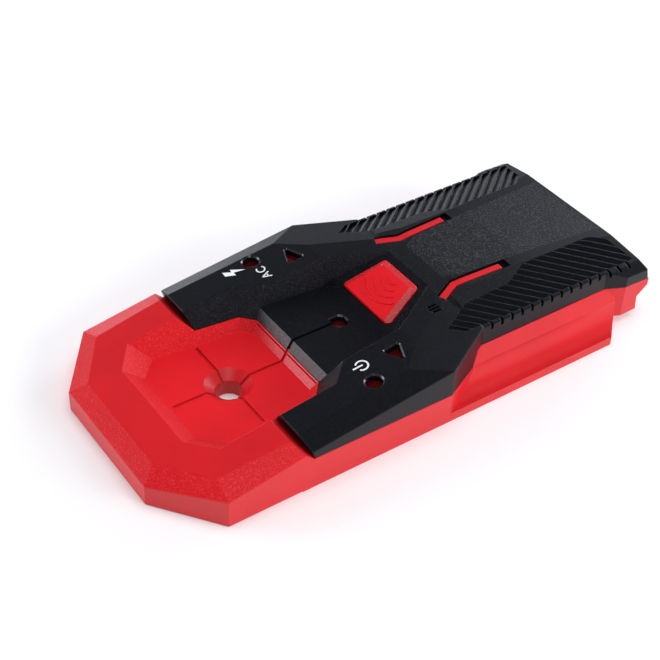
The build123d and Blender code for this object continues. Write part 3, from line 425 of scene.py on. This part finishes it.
def on_roof(center, normal):
    """Faces that look up."""
    return normal.z > NEARLY_LEVEL


def on_grip_roof(center, normal):
    """Top of the grip, where the coarse panel lies."""
    return normal.z > LEVEL and in_mm(center).y > GRIP_START_Y


def middle(name):
    """Middle of a CAD node's box, seen from above."""
    low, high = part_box(name)
    return (low[0] + high[0]) / 2, (low[1] + high[1]) / 2


window_spots = [middle(lens) for lens in LENSES]


def on_window_rim(center, normal):
    """Bevels round the windows."""
    near = any(math.hypot(center.x - x, center.y - y) < RIM_REACH * MM for x, y in window_spots)
    return near and RIM_TILT[0] < normal.z < RIM_TILT[1]


def on_underside(center, normal):
    """Flat face that slides on the wall."""
    return normal.z < -NEARLY_LEVEL


lower = paint("lower_housing", red_smooth, red_grain, red_fine, red_painted_lit, red_bevel)
paint_zone(lower, red_fine, on_deck)
paint_zone(lower, red_grain, on_bevel_band)
paint_zone(lower, red_grain, on_recess_wall)
paint_zone(lower, red_fine, on_underside)
# Painted light: the recess floor gets the brighter red
paint_zone(lower, red_painted_lit, on_recess_floor)
paint_zone(lower, red_bevel, on_rear_slope)
upper = paint("upper_housing", black_smooth, black_fine, black_grain, black_panel, black_bevel, black_rim)
paint_zone(upper, black_fine, on_roof)
paint_zone(upper, black_grain, on_arm_slope)
paint_zone(upper, black_panel, on_grip_roof)
paint_zone(upper, black_bevel, on_rear_slope)
paint_zone(upper, black_rim, on_window_rim)
paint("battery_door", red_fine)
paint("accent_left", red_smooth)
paint("accent_right", red_smooth)

# ---- button --------------------------------------------------------------------------------
press = next(joint for joint in frame["joints"] if joint["name"] == "scan_button_press")
button_up = -Vector(press["axis"])
BUTTON_SLOPE_LOW = 0.6


def on_button_slope(center, normal):
    """Slopes along the edges of the button."""
    return BUTTON_SLOPE_LOW < normal.dot(button_up) < LEVEL


# Painted light: the button's top gets the same brighter red
button = paint("scan_button", red_painted_lit, red_bevel)
paint_zone(button, red_bevel, on_button_slope)

# ---- pieces inside -------------------------------------------------------------------------
for material, names in (
    (lens_red, LENSES),
    (lamp_white, ("power_led", "ac_led", "arrow_led_right", "arrow_led_left", "center_led")),
    (green_board, ("main_board", "sensor_board", "button_board")),
    (copper, ("sensor_plate_left", "sensor_plate_right", "sensor_plate_rear")),
    (chip_black, ("sensor_chip", "controller_chip", "piezo_buzzer", "sensor_header", "switch_wedge")),
    (chip_black, ("tact_switch_body", "tact_switch_plunger")),
    (nickel, ("filter_capacitors", "contact_plate_negative", "contact_plate_positive", "contact_bridge")),
    (nickel, ("battery_spring_front", "battery_spring_rear")),
    (wire_red, ("battery_lead_positive",)),
    (wire_black, ("battery_lead_negative",)),
    (steel, ("housing_screws",)),
):
    for node_name in names:
        paint(node_name, material)

BAND_SHARE = 0.22                       # part of the cell's length that its coloured band covers
CAP_SHARE = 0.93                        # nearer to the axis than this share of the radius is bare metal


def paint_cell(name, terminal_side):
    """Sleeve with a coloured band at one end, and bare metal near the axis."""
    low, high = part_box(name)
    axis_x = (low[0] + high[0]) / 2
    axis_z = (low[2] + high[2]) / 2
    radius = (high[0] - low[0]) / 2
    band_from = 1 - BAND_SHARE if terminal_side > 0 else BAND_SHARE
    band_y = low[1] + band_from * (high[1] - low[1])

    def on_band(center, normal):
        """Faces past the start of the band."""
        return (center.y - band_y) * terminal_side > 0

    def on_cap(center, normal):
        """Faces near the axis: the cell's two metal ends."""
        return math.hypot(center.x - axis_x, center.z - axis_z) < CAP_SHARE * radius

    cell = paint(name, sleeve, sleeve_band, nickel)
    paint_zone(cell, sleeve_band, on_band)
    paint_zone(cell, nickel, on_cap)


paint_cell("battery_cell_left", -1)
paint_cell("battery_cell_right", 1)

# ---- printed marks -------------------------------------------------------------------------
MARK_THICK = 0.06 * MM                  # height above the cover
MARK_SUNK = 0.03 * MM                   # depth below it
MARK_STROKE = 0.5                       # widths of the lines, in mm
LETTER_STROKE = 0.4
BAR_STROKE = 0.35


def on_cover(x, y):
    """Height of the upper housing's surface above a spot given in millimetres."""
    start = at(x, y, 0) + Vector((0, 0, 2 * TOP_Z))
    hit, place, _, _ = nodes["upper_housing"].ray_cast(start, Vector((0, 0, -1)))
    assert hit
    return place.z


def slab(outline):
    """Closed thin slab on the cover, from an outline of (x, y) points in millimetres."""
    count = len(outline)
    top = [at(x, y, 0) + Vector((0, 0, on_cover(x, y) + MARK_THICK)) for x, y in outline]
    bottom = [point - Vector((0, 0, MARK_THICK + MARK_SUNK)) for point in top]
    sides = [(i, i + count, (i + 1) % count + count, (i + 1) % count) for i in range(count)]
    return top + bottom, [tuple(range(count)), tuple(reversed(range(count, 2 * count))), *sides]


def stroke(points, width=MARK_STROKE):
    """Outline of a band of even width along a path."""
    left, right = [], []
    for index, point in enumerate(points):
        before = Vector(points[max(index - 1, 0)])
        after = Vector(points[min(index + 1, len(points) - 1)])
        along = (after - before).normalized()
        aside = Vector((-along.y, along.x)) * width / 2
        left.append(tuple(Vector(point) + aside))
        right.append(tuple(Vector(point) - aside))
    return left + right[::-1]


def arc(center, radius, first, last, steps=24):
    """Points along a circular arc, angles in degrees."""
    angles = [math.radians(first + (last - first) * step / steps) for step in range(steps + 1)]
    return [(center[0] + radius * math.cos(angle), center[1] + radius * math.sin(angle)) for angle in angles]


power_sign = [
    stroke(arc((23.75, 64.4), 1.7, -52, 232)),
    stroke([(23.7, 64.7), (23.6, 61.6)]),
]
letter_a = [
    stroke([(-23.45, 65.4), (-22.4, 62.8)], LETTER_STROKE),
    stroke([(-22.4, 62.8), (-21.25, 65.4)], LETTER_STROKE),
    stroke([(-23.1, 64.5), (-21.6, 64.5)], BAR_STROKE),
]
letter_c = [stroke(arc((-25.5, 64.15), 1.2, -140, 140), LETTER_STROKE)]
bolt = [
    (-31.3, 54.8),
    (-29.8, 57.0),
    (-31.0, 57.15),
    (-28.3, 60.8),
    (-29.3, 57.45),
    (-27.9, 57.4),
    (-29.4, 54.7),
]
marks = [*power_sign, *letter_a, *letter_c, bolt]


def mesh_object(name, pieces, material):
    """One object made of several closed slabs, lying on the housing."""
    points, faces = [], []
    for piece_points, piece_faces in pieces:
        faces += [tuple(index + len(points) for index in face) for face in piece_faces]
        points += piece_points
    mesh = bpy.data.meshes.new(name)
    mesh.from_pydata(points, [], faces)
    mesh.materials.append(material)
    mesh.validate()
    made = bpy.data.objects.new(name, mesh)
    bpy.context.scene.collection.objects.link(made)
    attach(made, "housing")


mesh_object("printed_marks", [slab(outline) for outline in marks], mark_white)


# ---- light and floor -----------------------------------------------------------------------
COOL = (0.94, 0.98, 1.08)
WHITE = (1.0, 1.0, 1.0)
LAMPS = (                               # name, place, size, power, whether it shows as a gloss
    ("back_lamp", Vector((-0.18, 0.95, 0.26)), (0.7, 0.40), 5.0, True),
    ("left_strip", Vector((-0.97, 0.10, 0.16)), (0.35, 0.12), 1.4, True),
    ("front_strip", Vector((-0.66, -0.72, 0.20)), (0.5, 0.22), 1.5, True),
    ("right_lamp", Vector((0.82, 0.50, 0.38)), (0.6, 0.4), 6.6, False),
    ("front_lamp", Vector((-0.65, -0.72, 0.38)), (0.6, 0.4), 3.3, False),
    ("top_lamp", Vector((0.10, 0.05, 1.10)), (0.9, 0.9), 7.0, False),
    ("edge_lamp", Vector((0.55, -0.40, 0.95)), (0.30, 0.30), 1.2, True),
)
HORIZON = (0.96, 1.0, 1.10)
OVERHEAD = (0.02, 0.02, 0.022)
# sine of the height above the horizon, and share of the horizon's light
SKY = ((0.15, 0.90), (0.30, 0.33), (0.68, 0.16), (0.76, 0.03))
FLOOR_REACH = 0.7                       # from the middle to each edge, in metres
FLOOR_TONES = (0.94, 0.96)
FLOOR_ROUGHNESS = 0.9


def area_light(name, place, size, power, mirrored):
    """Soft rectangular lamp that shines at the tool; only a mirrored one shows as a gloss."""
    data = bpy.data.lights.new(name, "AREA")
    data.shape = "RECTANGLE"
    data.size, data.size_y = size
    data.energy = power
    data.color = COOL if mirrored else WHITE
    lamp = bpy.data.objects.new(name, data)
    lamp.location = place
    lamp.rotation_mode = "QUATERNION"
    lamp.rotation_quaternion = (-place).to_track_quat("-Z", "Y")
    lamp.visible_camera = False
    lamp.visible_glossy = mirrored
    bpy.context.scene.collection.objects.link(lamp)


def make_floor():
    """Pale, matt floor under the tool."""
    corners = [(x * FLOOR_REACH, y * FLOOR_REACH, 0) for x, y in ((-1, -1), (1, -1), (1, 1), (-1, 1))]
    mesh = bpy.data.meshes.new("floor")
    mesh.from_pydata(corners, [], [(0, 1, 2, 3)])
    floor = bpy.data.objects.new("floor", mesh)
    bpy.context.scene.collection.objects.link(floor)
    graph = Graph("floor")
    pale = graph.mix(graph.noise(3.0), *(colour(tone, tone, tone) for tone in FLOOR_TONES))
    graph.feed(graph.shader.inputs["Base Color"], pale)
    graph.shader.inputs["Roughness"].default_value = FLOOR_ROUGHNESS
    mesh.materials.append(graph.material)


def make_world():
    """Surroundings that are bright near the horizon and dark overhead."""
    world = bpy.data.worlds.new("studio")
    world.use_nodes = True
    tree = world.node_tree
    direction = tree.nodes.new("ShaderNodeTexCoord")
    split = tree.nodes.new("ShaderNodeSeparateXYZ")
    fade = tree.nodes.new("ShaderNodeValToRGB")
    stops = fade.color_ramp.elements
    for height, share in SKY:
        stops.new(height).color = colour(*(share * channel for channel in HORIZON))
    stops[0].color = colour(*HORIZON)
    stops[-1].color = colour(*OVERHEAD)
    tree.links.new(direction.outputs["Generated"], split.inputs["Vector"])
    tree.links.new(split.outputs["Z"], fade.inputs["Fac"])
    tree.links.new(fade.outputs["Color"], tree.nodes["Background"].inputs["Color"])
    bpy.context.scene.world = world


def make_studio():
    """Floor, surroundings and lamps on both sides."""
    make_floor()
    make_world()
    for lamp in LAMPS:
        area_light(*lamp)
    bpy.context.scene.view_settings.view_transform = "Standard"


make_camera()
make_studio()
